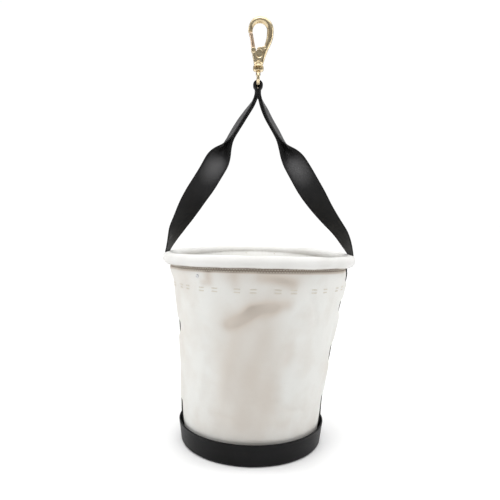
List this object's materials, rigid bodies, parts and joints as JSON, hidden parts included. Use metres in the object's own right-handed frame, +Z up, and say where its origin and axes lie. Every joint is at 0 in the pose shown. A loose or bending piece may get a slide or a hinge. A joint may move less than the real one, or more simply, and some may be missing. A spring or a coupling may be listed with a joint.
{
  "type": "canvas tool bucket",
  "caption": "Round canvas tool bucket with a moulded pan, stiff rolled rim, inside pockets, webbing handle and swivel snap hook.",
  "frame": {"origin": "centre of the pan's underside, where the bucket stands on the floor", "axes": "+Z up along the bucket's axis; X through the two strap anchors; -Y towards the side seen from the front"},
  "size_m": [0.312, 0.312, 0.687],
  "materials": {
    "canvas": "heavy woven cotton duck, off-white, slightly creased",
    "pocket_canvas": "woven cotton duck, off-white",
    "rim_canvas": "smooth white coated canvas rolled over a hoop",
    "hoop_core": "stiff extruded ring, hidden",
    "thread": "waxed sewing thread",
    "black_thread": "black sewing thread",
    "webbing": "woven black webbing with a soft sheen",
    "moulded_pan": "moulded black polymer, satin",
    "snap_brass": "pale gold plated, satin to polished",
    "gate_brass": "slightly pinker plating, satin",
    "rivet_steel": "plain plated steel"
  },
  "bodies": {
    "bucket": {"base_pan": "moulded_pan", "pan_rivets": "rivet_steel", "under_strap": "webbing", "canvas_bottom": "canvas", "canvas_front": "canvas", "canvas_back": "canvas", "rim_hoop": "hoop_core", "rim_binding": "rim_canvas", "rim_stitching": "thread", "strap_riser_left": "webbing", "strap_riser_right": "webbing", "riser_stitching": "thread", "bar_tacks": "thread", "wall_rivet": "rivet_steel", "pocket_01": "pocket_canvas", "pocket_02": "pocket_canvas", "pocket_03": "pocket_canvas", "pocket_04": "pocket_canvas", "pocket_05": "pocket_canvas", "pocket_06": "pocket_canvas", "pocket_07": "pocket_canvas", "pocket_08": "pocket_canvas", "pocket_09": "pocket_canvas", "pocket_10": "pocket_canvas", "pocket_11": "pocket_canvas", "pocket_12": "pocket_canvas", "pocket_13": "pocket_canvas", "pocket_14": "pocket_canvas", "pocket_15": "pocket_canvas"},
    "handle": {"strap_leg_left": "webbing", "strap_leg_right": "webbing", "strap_loop": "webbing", "neck_stitching": "black_thread"},
    "eye": {"swivel_eye": "snap_brass"},
    "hook": {"hook_body": "snap_brass", "gate_pin": "rivet_steel", "gate_spring": "rivet_steel"},
    "gate": {"gate": "gate_brass"}
  },
  "joints": [
    {"name": "handle_swing", "type": "hinge", "parent": "bucket", "child": "handle", "pos_m": [0, 0, 0.322], "axis": [1, 0, 0], "range_deg": [-78, 78]},
    {"name": "eye_tilt", "type": "hinge", "parent": "handle", "child": "eye", "pos_m": [0, 0, 0.5795], "axis": [0, 1, 0], "range_deg": [-75, 75]},
    {"name": "hook_swivel", "type": "hinge", "parent": "eye", "child": "hook", "pos_m": [0, 0, 0.607], "axis": [0, 0, 1], "continuous": true},
    {"name": "gate_swing", "type": "hinge", "parent": "hook", "child": "gate", "pos_m": [-0.0083, 0, 0.6345], "axis": [0, 1, 0], "range_deg": [0, 30], "stiffness_Nm_per_rad": 0.05, "springref_deg": -34.38}
  ]
}
